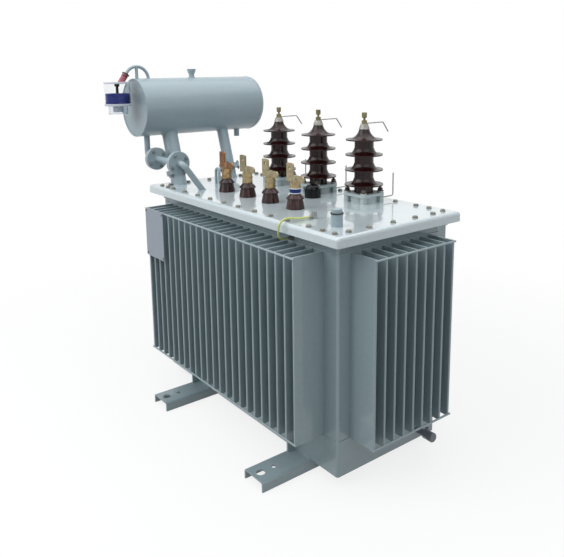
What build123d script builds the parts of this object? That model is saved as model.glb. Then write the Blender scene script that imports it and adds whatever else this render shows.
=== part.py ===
"""Oil-immersed distribution power transformer with corrugated cooling walls.

X runs along the tank, Y across it with the low-voltage side at -Y, and Z is up. The sizes
place everything from the middle of the tank on the ground, and each finished piece is moved
so that the part's origin is on the ground under the middle of the whole transformer. All
sizes are in millimetres.
"""

import os
from math import radians, tan

from build123d import *

os.makedirs("parts", exist_ok=True)

# Undercarriage: two folded channels with their open side down
channel_width = 117
channel_height = 40
channel_sheet = 6
channel_bend = 11
channel_length = 990
channel_gauge = 740
channel_offset = 55
wheel_hole_diameter = 36
wheel_hole_gauge = 924
fixing_hole_diameter = 18
fixing_hole_gauge = 804
gusset_depth = 38
gusset_height = 90
gusset_sheet = 8

# Tank
tank_length = 1260
tank_width = 530
tank_corner_radius = 10
skirt_height = 140

# Corrugated cooling walls
fin_height = 700
fin_pitch = 50
fin_thickness = 10
fin_edge_radius = 4
fin_backing = 4
fin_bar_diameter = 8
fin_bar_inset = 5
fin_bar_overrun = 4
long_fin_count = 23
long_fin_depth = 135
end_fin_count = 9
end_fin_depth = 122

# Cover, its gasket and the tank flange under it
fin_to_cover = 44
cover_height = 38
cover_sheet = 8
cover_end_overhang = 60
cover_side_overhang = 55
cover_edge_radius = 14
cover_corner_radius = 12
gasket_thickness = 5
flange_thickness = 12
flange_clearance = 5

# Rating plate panel on the fins of the front, left bare
panel_width = 172
panel_height = 226
panel_sheet = 3
panel_strip_height = 20
panel_strip_depth = 6
panel_strip_inset = 16

# Drain valve on the right end
valve_y = tank_width / 2 - 102
valve_height = 80
valve_pipe_diameter = 26
valve_pipe_length = 38
valve_body_width = 32
valve_body_length = 26
valve_cap_diameter = 38
valve_cap_length = 22
valve_stem_diameter = 14
valve_stem_length = 12

# High-voltage bushings
hv_count = 3
hv_pitch = 290
hv_middle_x = 13
hv_first_x = hv_middle_x - hv_pitch * (hv_count - 1) / 2
hv_row_y = tank_width / 2 - 90
hv_foot_diameter = 98
hv_core_diameter = 79
hv_shed_count = 4
hv_shed_pitch = 62
hv_shed_diameter = 160
hv_shed_taper = 3
hv_shed_rise = 26
hv_shed_lip = 5
hv_shed_step = 2
hv_shed_knee = (10, 6)
hv_first_shed = 73
hv_cone_height = 43
hv_cone_knee = (17, 11)
hv_neck_diameter = 42
hv_cap_diameter = 45
hv_cap_top_diameter = 31
hv_cap_height = 20
hv_nut_width = 20
hv_nut_height = 15
hv_stud_diameter = 9.5
hv_stud_height = 10
hv_connector_diameter = 21
hv_connector_height = 22
hv_connector_chamfer = 3

# Clamps of the high-voltage bushings
clamp_width = 128
clamp_corner_radius = 18
clamp_leg_width = 20
clamp_leg_pitch = 96
clamp_leg_height = 28
clamp_plate_thickness = 12
clamp_bore_clearance = 1
clamp_boss_diameter = 26
clamp_boss_height = 5
clamp_collar_sheet = 5

# Arcing horns of the high-voltage bushings
horn_diameter = 5
horn_bend = 8
horn_clearance = 1
upper_horn_reach = 108
upper_horn_tip = 32
upper_horn_drop = 42
lower_horn_height = 17
lower_horn_reach = 66
lower_horn_rise = 96

# Low-voltage bushings
lv_count = 4
lv_pitch = 168
lv_middle_x = -23
lv_first_x = lv_middle_x - lv_pitch * (lv_count - 1) / 2
lv_row_y = 135 - tank_width / 2
lv_foot_diameter = 74
lv_foot_height = 6
lv_cone_diameter = 60
lv_cone_top = 40
lv_skirt_diameter = 72
lv_skirt_lip = 4
lv_top_diameter = 38
lv_height = 62
lv_nut_width = 38
lv_nut_height = 17
lv_washer_diameter = 46
lv_washer_height = 5
lv_palm_width = 40
lv_palm_height = 74
lv_palm_thickness = 8
lv_palm_offset = 31
lv_palm_hole_diameter = 14
lv_palm_hole_drop = 20
lv_palm_corner = 4
lv_tongue_length = 55
lv_tongue_height = 28
lv_stud_diameter = 20
neutral_ring_diameter = 46
neutral_ring_height = lv_nut_height + lv_washer_height

# Small fittings on the cover
knob_x, knob_y = 95, 72
knob_diameter = 70
knob_height = 56
knob_skirt_height = 38
knob_dome_radius = 22
knob_rib_count = 16
knob_rib_diameter = 8
pocket_x = tank_length / 2 - 69
pocket_y = 58 - tank_width / 2
pocket_diameter = 43
pocket_height = 44
pocket_ring_diameter = 46
pocket_ring_height = 6
pocket_cap_diameter = 39
pocket_cap_height = 14
lug_x = 155 - tank_length / 2
lug_y = -55
lug_bar_diameter = 14
lug_width = 44
lug_height = 82

# Earth studs that the bonding lead joins: one on the cover, one on the tank wall
stud_x = tank_length / 2 - 215
stud_y = 75 - tank_width / 2
stud_boss_diameter = 24
stud_boss_height = 16
stud_nut_width = 17
stud_nut_height = 9
wall_stud_x = stud_x - 35
wall_stud_rise = 16
wall_stud_diameter = 18
wall_stud_length = 14
lead_socket_diameter = 12
lead_socket_length = 10
lead_socket_height = 9
lead_diameter = 8

# Conservator, its legs and its fittings
conservator_x = -tank_length / 2 - 90
conservator_rise = 374
conservator_diameter = 278
conservator_wall = 4
conservator_front = -tank_width / 2 - 96
conservator_back = tank_width / 2 + 52
end_sheet = 5
end_inset = 4
dish_depth = 30
dish_knuckle = 26
leg_y_places = (65 - tank_width / 2, tank_width / 2 - 160)
leg_diameters = (76, 56)
leg_foot_x = 30 - tank_length / 2
leg_joint_height = 58
leg_flange_diameter = 104
leg_flange_thickness = 10
filler_y = conservator_front + 320
filler_neck_diameter = 28
filler_neck_height = 20
filler_cap_diameter = 46
filler_cap_height = 22
filler_cap_taper = 6
drain_y = conservator_back - 95
drain_diameter = 28
drain_length = 36

# Pipe from the conservator to the cover
pipe_diameter = 28
pipe_y = conservator_front + 58
pipe_rise = 132
pipe_bend = 30
pipe_flange_diameter = 107
pipe_flange_thickness = 11
first_joint_x = conservator_x + 91
second_joint_x = first_joint_x + 218
elbow_x = second_joint_x + 47
elbow_bend = 22
pipe_foot_x = 245 - tank_length / 2
pipe_foot_y = 69 - tank_width / 2

# Breather in front of the conservator
breather_y = conservator_front - 82
breather_diameter = 122
breather_rise = 398
breather_glass_wall = 4
breather_glass_height = 93
breather_plate_height = 8
breather_rim_height = 11
breather_cup_diameter = 90
breather_cup_height = 38
breather_rod_diameter = 12
gel_height = 47
gel_clearance = 1
inlet_diameter = 29
arch_y = conservator_front + 21
arch_radius = 60
arch_centre_rise = 135
arch_pipe_diameter = 15
arch_sweep = 145
arch_tail = 10
arch_strut_diameter = 15

# Levels and outlines that follow from the sizes above
tank_floor = channel_height
fin_foot = tank_floor + skirt_height
fin_top = fin_foot + fin_height
rim_foot = fin_top + fin_to_cover
cover_top = rim_foot + cover_height
wall_stud_z = fin_top + wall_stud_rise
flange_top = cover_top - cover_sheet - gasket_thickness
cover_length = tank_length + 2 * cover_end_overhang
cover_width = tank_width + 2 * cover_side_overhang
flange_length = cover_length - 2 * (cover_sheet + flange_clearance)
flange_width = cover_width - 2 * (cover_sheet + flange_clearance)
conservator_z = cover_top + conservator_rise
conservator_radius = conservator_diameter / 2
shell_middle = (conservator_x, (conservator_front + conservator_back) / 2, conservator_z)
shell_length = conservator_back - conservator_front
left_reach = conservator_x - conservator_radius
right_reach = tank_length / 2 + end_fin_depth + fin_bar_diameter / 2
front_reach = breather_y - breather_diameter / 2
back_reach = channel_length / 2
whole_middle = Vector((left_reach + right_reach) / 2, (front_reach + back_reach) / 2, 0)


def save(piece, name):
    """Labels a finished piece, moves it into the part's frame and writes its file."""
    piece.part.label = name
    export_step(piece.part.moved(Location(-whole_middle)), f"parts/{name}.step")


def standing_plane(x, y, z):
    """The upright plane through a standing piece's axis, with its zero at height z."""
    return Plane(origin=(x, y, z), x_dir=(1, 0, 0), z_dir=(0, -1, 0))


def cut_to_shell():
    """Cuts the piece in hand back to the outside of the conservator's shell."""
    with Locations(shell_middle):
        Cylinder(conservator_radius, shell_length, rotation=(90, 0, 0), mode=Mode.SUBTRACT)


# Undercarriage channels, each with its gussets against the tank's long walls
for name, side in (("left", -1), ("right", 1)):
    channel_x = channel_offset + side * channel_gauge / 2
    end_plane = Plane.XZ.offset(-channel_length / 2)
    with BuildPart() as channel:
        with BuildSketch(end_plane) as section:
            with Locations((channel_x, 0)):
                Rectangle(channel_width, channel_height, align=(Align.CENTER, Align.MIN))
            fillet(section.vertices().group_by(Axis.Y)[-1], channel_bend)
        extrude(amount=channel_length)
        with BuildSketch(end_plane) as hollow:
            with Locations((channel_x, 0)):
                Rectangle(
                    channel_width - 2 * channel_sheet,
                    channel_height - channel_sheet,
                    align=(Align.CENTER, Align.MIN),
                )
            fillet(hollow.vertices().group_by(Axis.Y)[-1], channel_bend - channel_sheet)
        extrude(amount=channel_length, mode=Mode.SUBTRACT)
        with Locations((channel_x, 0, channel_height)):
            with GridLocations(0, wheel_hole_gauge, 1, 2):
                Hole(wheel_hole_diameter / 2, depth=2 * channel_sheet)
            with GridLocations(0, fixing_hole_gauge, 1, 2):
                Hole(fixing_hole_diameter / 2, depth=2 * channel_sheet)
        for end in (-1, 1):
            wall = end * tank_width / 2
            tip = wall + end * gusset_depth
            with BuildSketch(Plane.YZ.offset(channel_x - channel_width / 2 + channel_bend)):
                with BuildLine():
                    Polyline(
                        (wall, channel_height),
                        (tip, channel_height),
                        (tip, channel_height + gusset_height / 2),
                        (wall, channel_height + gusset_height),
                        close=True,
                    )
                make_face()
            extrude(amount=gusset_sheet)
    save(channel, f"undercarriage_channel_{name}")

# Tank, closed below, up to the top of its flange
with BuildPart() as tank:
    with BuildSketch(Plane.XY.offset(tank_floor)):
        RectangleRounded(tank_length, tank_width, tank_corner_radius)
    extrude(amount=flange_top - tank_floor)
save(tank, "tank_body")

with BuildPart() as tank_flange:
    with BuildSketch(Plane.XY.offset(flange_top - flange_thickness)):
        Rectangle(flange_length, flange_width)
        RectangleRounded(tank_length, tank_width, tank_corner_radius, mode=Mode.SUBTRACT)
    extrude(amount=flange_thickness)
save(tank_flange, "tank_flange")

# Corrugated walls: fins on a backing sheet, with a stiffening bar near top and bottom
walls = (
    ("front", (0, -tank_width / 2), (-1, 0, 0), long_fin_count, long_fin_depth),
    ("back", (0, tank_width / 2), (1, 0, 0), long_fin_count, long_fin_depth),
    ("left", (-tank_length / 2, 0), (0, 1, 0), end_fin_count, end_fin_depth),
    ("right", (tank_length / 2, 0), (0, -1, 0), end_fin_count, end_fin_depth),
)
for name, middle, along, fin_count, fin_depth in walls:
    wall_plane = Plane(origin=(*middle, fin_foot), x_dir=along, z_dir=(0, 0, 1))
    comb_length = (fin_count - 1) * fin_pitch + fin_thickness
    with BuildPart() as wall:
        with BuildSketch(wall_plane) as comb:
            with GridLocations(fin_pitch, 0, fin_count, 1):
                Rectangle(fin_thickness, fin_depth, align=(Align.CENTER, Align.MIN))
            fillet(comb.vertices().group_by(Axis.Y)[-1], fin_edge_radius)
            Rectangle(comb_length, fin_backing, align=(Align.CENTER, Align.MIN))
        extrude(amount=fin_height)
        for height in (fin_bar_inset, fin_height - fin_bar_inset):
            bar_end = wall_plane.from_local_coords(
                (-comb_length / 2 - fin_bar_overrun, fin_depth, height)
            )
            with BuildSketch(Plane(origin=bar_end, z_dir=wall_plane.x_dir)):
                Circle(fin_bar_diameter / 2)
            extrude(amount=comb_length + 2 * fin_bar_overrun)
    save(wall, f"corrugated_wall_{name}")

# Bare panel for the rating plate, carried on two strips across the front fins
panel_left = -((long_fin_count - 1) * fin_pitch + fin_thickness) / 2
fin_face = -tank_width / 2 - long_fin_depth
with BuildPart() as panel:
    with BuildSketch(Plane.XZ.offset(-fin_face + panel_strip_depth)):
        with Locations((panel_left, fin_top)):
            Rectangle(panel_width, panel_height, align=(Align.MIN, Align.MAX))
    extrude(amount=panel_sheet)
    strip_tops = (fin_top - panel_strip_inset, fin_top - panel_height + 2 * panel_strip_height)
    for strip_top in strip_tops:
        with BuildSketch(Plane.XZ.offset(-fin_face)):
            with Locations((panel_left, strip_top)):
                Rectangle(panel_width, panel_strip_height, align=(Align.MIN, Align.MAX))
        extrude(amount=panel_strip_depth)
save(panel, "rating_plate_panel")

# Cover with its edges folded down, and the gasket between it and the flange
with BuildPart() as cover:
    with BuildSketch(Plane.XY.offset(rim_foot)):
        RectangleRounded(cover_length, cover_width, cover_corner_radius)
    extrude(amount=cover_height)
    fillet(cover.faces().sort_by(Axis.Z)[-1].edges(), cover_edge_radius)
    with BuildSketch(Plane.XY.offset(rim_foot)):
        Rectangle(cover_length - 2 * cover_sheet, cover_width - 2 * cover_sheet)
    extrude(amount=cover_height - cover_sheet, mode=Mode.SUBTRACT)
save(cover, "cover_plate")

with BuildPart() as gasket:
    with BuildSketch(Plane.XY.offset(flange_top)):
        Rectangle(flange_length, flange_width)
        Rectangle(
            tank_length - 2 * flange_thickness,
            tank_width - 2 * flange_thickness,
            mode=Mode.SUBTRACT,
        )
    extrude(amount=gasket_thickness)
save(gasket, "cover_gasket")

# Drain valve, pointing out of the right end
valve_plane = Plane(
    origin=(tank_length / 2, valve_y, valve_height), x_dir=(0, 1, 0), z_dir=(1, 0, 0)
)
with BuildPart() as valve:
    with BuildSketch(valve_plane):
        Circle(valve_pipe_diameter / 2)
    extrude(amount=valve_pipe_length)
    with BuildSketch(valve_plane.offset(valve_pipe_length)):
        RegularPolygon(valve_body_width / 2, 6, major_radius=False)
    extrude(amount=valve_body_length)
    with BuildSketch(valve_plane.offset(valve_pipe_length + valve_body_length)):
        Circle(valve_cap_diameter / 2)
    extrude(amount=valve_cap_length)
    chamfer(valve.faces().sort_by(Axis.X)[-1].edges(), valve_cap_length / 8)
    stem_x = tank_length / 2 + valve_pipe_length + valve_body_length / 2
    with BuildSketch(Plane(origin=(stem_x, valve_y, valve_height))):
        Circle(valve_stem_diameter / 2)
    extrude(amount=valve_body_width / 2 + valve_stem_length)
save(valve, "drain_valve")

# High-voltage bushings
cone_foot = hv_first_shed + (hv_shed_count - 1) * hv_shed_pitch
neck_height = cone_foot + hv_cone_height
core_radius = hv_core_diameter / 2
for number in range(hv_count):
    hv_x = hv_first_x + number * hv_pitch
    hv_axis = Axis((hv_x, hv_row_y, cover_top), (0, 0, 1))
    with BuildPart() as porcelain:
        with BuildSketch(standing_plane(hv_x, hv_row_y, cover_top)):
            with BuildLine():
                Polyline(
                    (0, 0),
                    (hv_foot_diameter / 2, 0),
                    (hv_foot_diameter / 2, clamp_leg_height),
                    (core_radius, clamp_leg_height),
                    (core_radius, hv_first_shed),
                )
                for shed in range(hv_shed_count):
                    rim = (hv_shed_diameter - shed * hv_shed_taper) / 2
                    level = hv_first_shed + shed * hv_shed_pitch
                    Polyline(
                        (core_radius, level),
                        (rim, level - hv_shed_lip / 2),
                        (rim, level + hv_shed_lip / 2),
                    )
                    top_shed = shed == hv_shed_count - 1
                    inner = hv_neck_diameter / 2 if top_shed else core_radius + hv_shed_step
                    rise = hv_cone_height if top_shed else hv_shed_rise
                    knee_out, knee_rise = hv_cone_knee if top_shed else hv_shed_knee
                    ThreePointArc(
                        (rim, level + hv_shed_lip / 2),
                        (inner + knee_out, level + hv_shed_lip / 2 + knee_rise),
                        (inner, level + rise),
                    )
                    if not top_shed:
                        Polyline(
                            (inner, level + rise),
                            (core_radius, level + rise),
                            (core_radius, level + hv_shed_pitch),
                        )
                Polyline((hv_neck_diameter / 2, neck_height), (0, neck_height), (0, 0))
            make_face()
        revolve(axis=hv_axis)
    save(porcelain, f"hv_porcelain_{number + 1}")

    plate_foot = cover_top + clamp_leg_height
    with BuildPart() as clamp:
        with BuildSketch(Plane((hv_x, hv_row_y, cover_top))):
            with GridLocations(clamp_leg_pitch, clamp_leg_pitch, 2, 2):
                Rectangle(clamp_leg_width, clamp_leg_width)
            Circle(hv_foot_diameter / 2 + clamp_bore_clearance + clamp_collar_sheet)
            Circle(hv_foot_diameter / 2 + clamp_bore_clearance, mode=Mode.SUBTRACT)
        extrude(amount=clamp_leg_height)
        with BuildSketch(Plane((hv_x, hv_row_y, plate_foot))):
            RectangleRounded(clamp_width, clamp_width, clamp_corner_radius)
            Circle(core_radius + clamp_bore_clearance, mode=Mode.SUBTRACT)
        extrude(amount=clamp_plate_thickness)
        with BuildSketch(Plane((hv_x, hv_row_y, plate_foot + clamp_plate_thickness))):
            with GridLocations(clamp_leg_pitch, clamp_leg_pitch, 2, 2):
                Circle(clamp_boss_diameter / 2)
        extrude(amount=clamp_boss_height)
    save(clamp, f"hv_clamp_{number + 1}")

    with BuildPart() as terminal:
        nut_foot = cover_top + neck_height + hv_cap_height
        with BuildSketch(Plane((hv_x, hv_row_y, cover_top + neck_height))):
            Circle(hv_cap_diameter / 2)
        with BuildSketch(Plane((hv_x, hv_row_y, nut_foot))):
            Circle(hv_cap_top_diameter / 2)
        loft()
        with BuildSketch(Plane((hv_x, hv_row_y, nut_foot))):
            RegularPolygon(hv_nut_width / 2, 6, major_radius=False)
        extrude(amount=hv_nut_height)
        with BuildSketch(Plane((hv_x, hv_row_y, nut_foot + hv_nut_height))):
            Circle(hv_stud_diameter / 2)
        extrude(amount=hv_stud_height)
        connector_foot = nut_foot + hv_nut_height + hv_stud_height
        with BuildSketch(Plane((hv_x, hv_row_y, connector_foot))):
            Circle(hv_connector_diameter / 2 - hv_connector_chamfer)
        with BuildSketch(Plane((hv_x, hv_row_y, connector_foot + hv_connector_chamfer))):
            Circle(hv_connector_diameter / 2)
        loft()
        with BuildSketch(Plane((hv_x, hv_row_y, connector_foot + hv_connector_chamfer))):
            Circle(hv_connector_diameter / 2)
        extrude(amount=hv_connector_height - hv_connector_chamfer)
    save(terminal, f"hv_terminal_{number + 1}")

# Arcing horns: a rod off the top of each cap and one from each clamp, ends facing
with BuildPart() as horns:
    for number in range(hv_count):
        hv_x = hv_first_x + number * hv_pitch
        horn_z = cover_top + neck_height + hv_cap_height + horn_diameter / 2
        upper_knee_y = hv_row_y + upper_horn_reach
        with BuildLine() as upper_line:
            FilletPolyline(
                (hv_x, hv_row_y, horn_z),
                (hv_x, upper_knee_y, horn_z),
                (hv_x, upper_knee_y + upper_horn_tip, horn_z - upper_horn_drop),
                radius=horn_bend,
            )
        with BuildSketch(Plane(origin=(hv_x, hv_row_y, horn_z), z_dir=(0, 1, 0))):
            Circle(horn_diameter / 2)
        sweep(path=upper_line.line)
        with Locations((hv_x, hv_row_y, horn_z)):
            Cylinder(hv_nut_width / 3**0.5 + horn_clearance, hv_nut_height, mode=Mode.SUBTRACT)
        leg_x = hv_x + clamp_leg_pitch / 2
        leg_face = hv_row_y + (clamp_leg_pitch + clamp_leg_width) / 2
        low_z = cover_top + lower_horn_height
        with BuildLine() as lower_line:
            FilletPolyline(
                (leg_x, leg_face, low_z),
                (leg_x, leg_face + lower_horn_reach, low_z),
                (leg_x, leg_face + lower_horn_reach, low_z + lower_horn_rise),
                radius=horn_bend,
            )
        with BuildSketch(Plane(origin=(leg_x, leg_face, low_z), z_dir=(0, 1, 0))):
            Circle(horn_diameter / 2)
        sweep(path=lower_line.line)
save(horns, "hv_arcing_horns")

# Low-voltage bushings, the last one with a ring that marks the neutral
layer_height = lv_nut_height + lv_washer_height
for number in range(lv_count):
    lv_x = lv_first_x + number * lv_pitch
    with BuildPart() as porcelain:
        with BuildSketch(standing_plane(lv_x, lv_row_y, cover_top)):
            with BuildLine():
                Polyline(
                    (0, 0),
                    (lv_foot_diameter / 2, 0),
                    (lv_foot_diameter / 2, lv_foot_height),
                    (lv_cone_diameter / 2, lv_cone_top),
                    (lv_skirt_diameter / 2, lv_cone_top),
                    (lv_skirt_diameter / 2, lv_cone_top + lv_skirt_lip),
                    (lv_top_diameter / 2, lv_height),
                    (0, lv_height),
                    close=True,
                )
            make_face()
        revolve(axis=Axis((lv_x, lv_row_y, cover_top), (0, 0, 1)))
    save(porcelain, f"lv_porcelain_{number + 1}")

    marked = number == lv_count - 1
    stack_foot = cover_top + lv_height + (neutral_ring_height if marked else 0)
    palm_foot = cover_top + lv_height + 2 * layer_height
    with BuildPart() as terminal:
        layer_foot = stack_foot
        while layer_foot < palm_foot:
            with BuildSketch(Plane((lv_x, lv_row_y, layer_foot))):
                Circle(lv_washer_diameter / 2)
            extrude(amount=lv_washer_height)
            with BuildSketch(Plane((lv_x, lv_row_y, layer_foot + lv_washer_height))):
                RegularPolygon(lv_nut_width / 2, 6, major_radius=False)
            extrude(amount=lv_nut_height)
            layer_foot += layer_height
        with BuildSketch(Plane((lv_x, lv_row_y, palm_foot))):
            Circle(lv_stud_diameter / 2)
        extrude(amount=lv_tongue_height)
        palm_plane = standing_plane(lv_x, lv_row_y + lv_palm_thickness / 2, palm_foot)
        with BuildSketch(palm_plane) as palm:
            with Locations((-lv_palm_offset, 0)):
                Rectangle(lv_palm_width, lv_palm_height, align=(Align.CENTER, Align.MIN))
            chamfer(palm.vertices().group_by(Axis.Y)[-1], lv_palm_corner)
            Rectangle(
                lv_tongue_length - lv_tongue_height / 2,
                lv_tongue_height,
                align=(Align.MIN, Align.MIN),
            )
            with Locations((lv_tongue_length - lv_tongue_height / 2, lv_tongue_height / 2)):
                Circle(lv_tongue_height / 2)
            Rectangle(
                lv_palm_offset, lv_tongue_height, align=(Align.MAX, Align.MIN)
            )
            with Locations((-lv_palm_offset, lv_palm_height - lv_palm_hole_drop)):
                Circle(lv_palm_hole_diameter / 2, mode=Mode.SUBTRACT)
        extrude(amount=lv_palm_thickness)
    save(terminal, f"lv_terminal_{number + 1}")

neutral_x = lv_first_x + (lv_count - 1) * lv_pitch
with BuildPart() as ring:
    with BuildSketch(Plane((neutral_x, lv_row_y, cover_top + lv_height))):
        Circle(neutral_ring_diameter / 2)
    extrude(amount=neutral_ring_height)
save(ring, "neutral_ring")

# Tap-changer knob: a ribbed skirt under a domed top
with BuildPart() as knob:
    with BuildSketch(Plane((knob_x, knob_y, cover_top))):
        Circle(knob_diameter / 2 - knob_rib_diameter / 4)
    extrude(amount=knob_height)
    fillet(knob.faces().sort_by(Axis.Z)[-1].edges(), knob_dome_radius)
    with BuildSketch(Plane((knob_x, knob_y, cover_top))):
        with PolarLocations((knob_diameter - knob_rib_diameter) / 2, knob_rib_count):
            Circle(knob_rib_diameter / 2)
    extrude(amount=knob_skirt_height)
save(knob, "tap_changer_knob")

# Thermometer pocket with its sealing ring and cap
with BuildPart() as pocket:
    with BuildSketch(Plane((pocket_x, pocket_y, cover_top))):
        Circle(pocket_diameter / 2)
    extrude(amount=pocket_height)
    with BuildSketch(Plane((pocket_x, pocket_y, cover_top + pocket_height))):
        Circle(pocket_ring_diameter / 2)
    extrude(amount=pocket_ring_height)
    cap_foot = cover_top + pocket_height + pocket_ring_height
    with BuildSketch(Plane((pocket_x, pocket_y, cap_foot))):
        Circle(pocket_cap_diameter / 2)
    extrude(amount=pocket_cap_height)
    chamfer(pocket.faces().sort_by(Axis.Z)[-1].edges(), pocket_cap_height / 7)
save(pocket, "thermometer_pocket")

# Lifting lug: a round bar bent to a hairpin
with BuildPart() as lug:
    lug_half = (lug_width - lug_bar_diameter) / 2
    lug_bend_z = cover_top + lug_height - lug_bar_diameter / 2 - lug_half
    with BuildLine() as lug_line:
        Line((lug_x - lug_half, lug_y, cover_top), (lug_x - lug_half, lug_y, lug_bend_z))
        ThreePointArc(
            (lug_x - lug_half, lug_y, lug_bend_z),
            (lug_x, lug_y, lug_bend_z + lug_half),
            (lug_x + lug_half, lug_y, lug_bend_z),
        )
        Line((lug_x + lug_half, lug_y, lug_bend_z), (lug_x + lug_half, lug_y, cover_top))
    with BuildSketch(Plane((lug_x - lug_half, lug_y, cover_top))):
        Circle(lug_bar_diameter / 2)
    sweep(path=lug_line.line)
save(lug, "lifting_lug")

# Conservator: shell, recessed front end and dished back end
shell_end = conservator_back - dish_depth
front_plane = Plane(
    origin=(conservator_x, conservator_front, conservator_z), x_dir=(1, 0, 0), z_dir=(0, 1, 0)
)
with BuildPart() as shell:
    with BuildSketch(front_plane):
        Circle(conservator_radius)
        Circle(conservator_radius - conservator_wall, mode=Mode.SUBTRACT)
    extrude(amount=shell_end - conservator_front)
save(shell, "conservator_shell")

with BuildPart() as front_end:
    with BuildSketch(front_plane.offset(end_inset)):
        Circle(conservator_radius - conservator_wall)
    extrude(amount=end_sheet)
save(front_end, "conservator_end_front")

with BuildPart() as back_end:
    with BuildSketch(front_plane.offset(shell_end - conservator_front)):
        Circle(conservator_radius)
    extrude(amount=dish_depth)
    fillet(back_end.faces().sort_by(Axis.Y)[-1].edges(), dish_knuckle)
    offset(amount=-conservator_wall, openings=back_end.faces().sort_by(Axis.Y)[0])
save(back_end, "conservator_end_back")

with BuildPart() as filler:
    neck_top = conservator_z + conservator_radius + filler_neck_height
    with BuildSketch(Plane((conservator_x, filler_y, conservator_z))):
        Circle(filler_neck_diameter / 2)
    extrude(amount=conservator_radius + filler_neck_height)
    with BuildSketch(Plane((conservator_x, filler_y, neck_top))):
        Circle(filler_cap_diameter / 2 - filler_cap_taper)
    with BuildSketch(Plane((conservator_x, filler_y, neck_top + filler_cap_height))):
        Circle(filler_cap_diameter / 2)
    loft()
    cut_to_shell()
save(filler, "conservator_filler")

with BuildPart() as drain:
    with BuildSketch(Plane((conservator_x, drain_y, conservator_z))):
        Circle(drain_diameter / 2)
    extrude(amount=-conservator_radius - drain_length)
    cut_to_shell()
save(drain, "conservator_drain")

# Legs that lean from the conservator to flanged feet on the cover
for name, leg_y, leg_diameter in zip(("front", "back"), leg_y_places, leg_diameters):
    foot_point = Vector(leg_foot_x, leg_y, cover_top)
    lean = (Vector(conservator_x, leg_y, conservator_z) - foot_point).normalized()
    joint = Plane(origin=foot_point + lean * leg_joint_height, z_dir=lean)
    with BuildPart() as leg:
        with BuildSketch(joint):
            Circle(leg_flange_diameter / 2)
        extrude(amount=leg_flange_thickness)
        with BuildSketch(joint):
            Circle(leg_diameter / 2)
        extrude(amount=conservator_rise - leg_joint_height)
        cut_to_shell()
    save(leg, f"conservator_leg_{name}")

    with BuildPart() as foot:
        with BuildSketch(joint):
            Circle(leg_flange_diameter / 2)
        extrude(amount=-leg_flange_thickness)
        with BuildSketch(joint):
            Circle(leg_diameter / 2)
        extrude(amount=-2 * leg_joint_height)
        split(bisect_by=Plane.XY.offset(cover_top))
    save(foot, f"conservator_foot_{name}")

# Pipe from the conservator to the cover, in three flanged lengths
pipe_z = cover_top + pipe_rise
along_x = (1, 0, 0)
with BuildPart() as riser:
    with BuildLine() as riser_line:
        FilletPolyline(
            (conservator_x, pipe_y, conservator_z),
            (conservator_x, pipe_y, pipe_z),
            (first_joint_x, pipe_y, pipe_z),
            radius=pipe_bend,
        )
    with BuildSketch(Plane(origin=(conservator_x, pipe_y, conservator_z))):
        Circle(pipe_diameter / 2)
    sweep(path=riser_line.line)
    with BuildSketch(Plane(origin=(first_joint_x, pipe_y, pipe_z), z_dir=along_x)):
        Circle(pipe_flange_diameter / 2)
    extrude(amount=-pipe_flange_thickness)
    cut_to_shell()
save(riser, "riser_pipe")

with BuildPart() as spacer:
    spacer_start = Plane(origin=(first_joint_x, pipe_y, pipe_z), z_dir=along_x)
    spacer_length = second_joint_x - first_joint_x
    with BuildSketch(spacer_start):
        Circle(pipe_diameter / 2)
    extrude(amount=spacer_length)
    for start in (0, spacer_length - pipe_flange_thickness):
        with BuildSketch(spacer_start.offset(start)):
            Circle(pipe_flange_diameter / 2)
        extrude(amount=pipe_flange_thickness)
save(spacer, "spacer_pipe")

with BuildPart() as cover_pipe:
    elbow = Vector(elbow_x, pipe_y, pipe_z)
    pipe_foot = Vector(pipe_foot_x, pipe_foot_y, cover_top)
    below_cover = pipe_foot + (pipe_foot - elbow).normalized() * pipe_diameter
    with BuildLine() as cover_line:
        FilletPolyline((second_joint_x, pipe_y, pipe_z), elbow, below_cover, radius=elbow_bend)
    with BuildSketch(Plane(origin=(second_joint_x, pipe_y, pipe_z), z_dir=along_x)):
        Circle(pipe_diameter / 2)
    sweep(path=cover_line.line)
    with BuildSketch(Plane(origin=(second_joint_x, pipe_y, pipe_z), z_dir=along_x)):
        Circle(pipe_flange_diameter / 2)
    extrude(amount=pipe_flange_thickness)
    split(bisect_by=Plane.XY.offset(cover_top))
save(cover_pipe, "cover_pipe")

# Breather: top plate with a rod, inlet, glass, gel, and rim with the lower cup
breather_foot = cover_top + breather_rise
breather_top = breather_foot + breather_glass_height
gel_radius = breather_diameter / 2 - breather_glass_wall - gel_clearance
with BuildPart() as head:
    with BuildSketch(Plane((conservator_x, breather_y, breather_top))):
        Circle(breather_diameter / 2)
    extrude(amount=breather_plate_height)
    with BuildSketch(Plane((conservator_x, breather_y, breather_top))):
        Circle(breather_rod_diameter / 2)
    extrude(amount=gel_height - breather_glass_height)
save(head, "breather_head")

with BuildPart() as glass:
    with BuildSketch(Plane((conservator_x, breather_y, breather_foot))):
        Circle(breather_diameter / 2)
        Circle(breather_diameter / 2 - breather_glass_wall, mode=Mode.SUBTRACT)
    extrude(amount=breather_glass_height)
save(glass, "breather_glass")

with BuildPart() as gel:
    with BuildSketch(Plane((conservator_x, breather_y, breather_foot))):
        Circle(gel_radius)
    extrude(amount=gel_height)
save(gel, "silica_gel")

with BuildPart() as cup:
    with BuildSketch(Plane((conservator_x, breather_y, breather_foot))):
        Circle(breather_diameter / 2)
    extrude(amount=-breather_rim_height)
    with BuildSketch(Plane((conservator_x, breather_y, breather_foot - breather_rim_height))):
        Circle(breather_cup_diameter / 2)
    extrude(amount=-breather_cup_height)
save(cup, "breather_cup")

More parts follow.
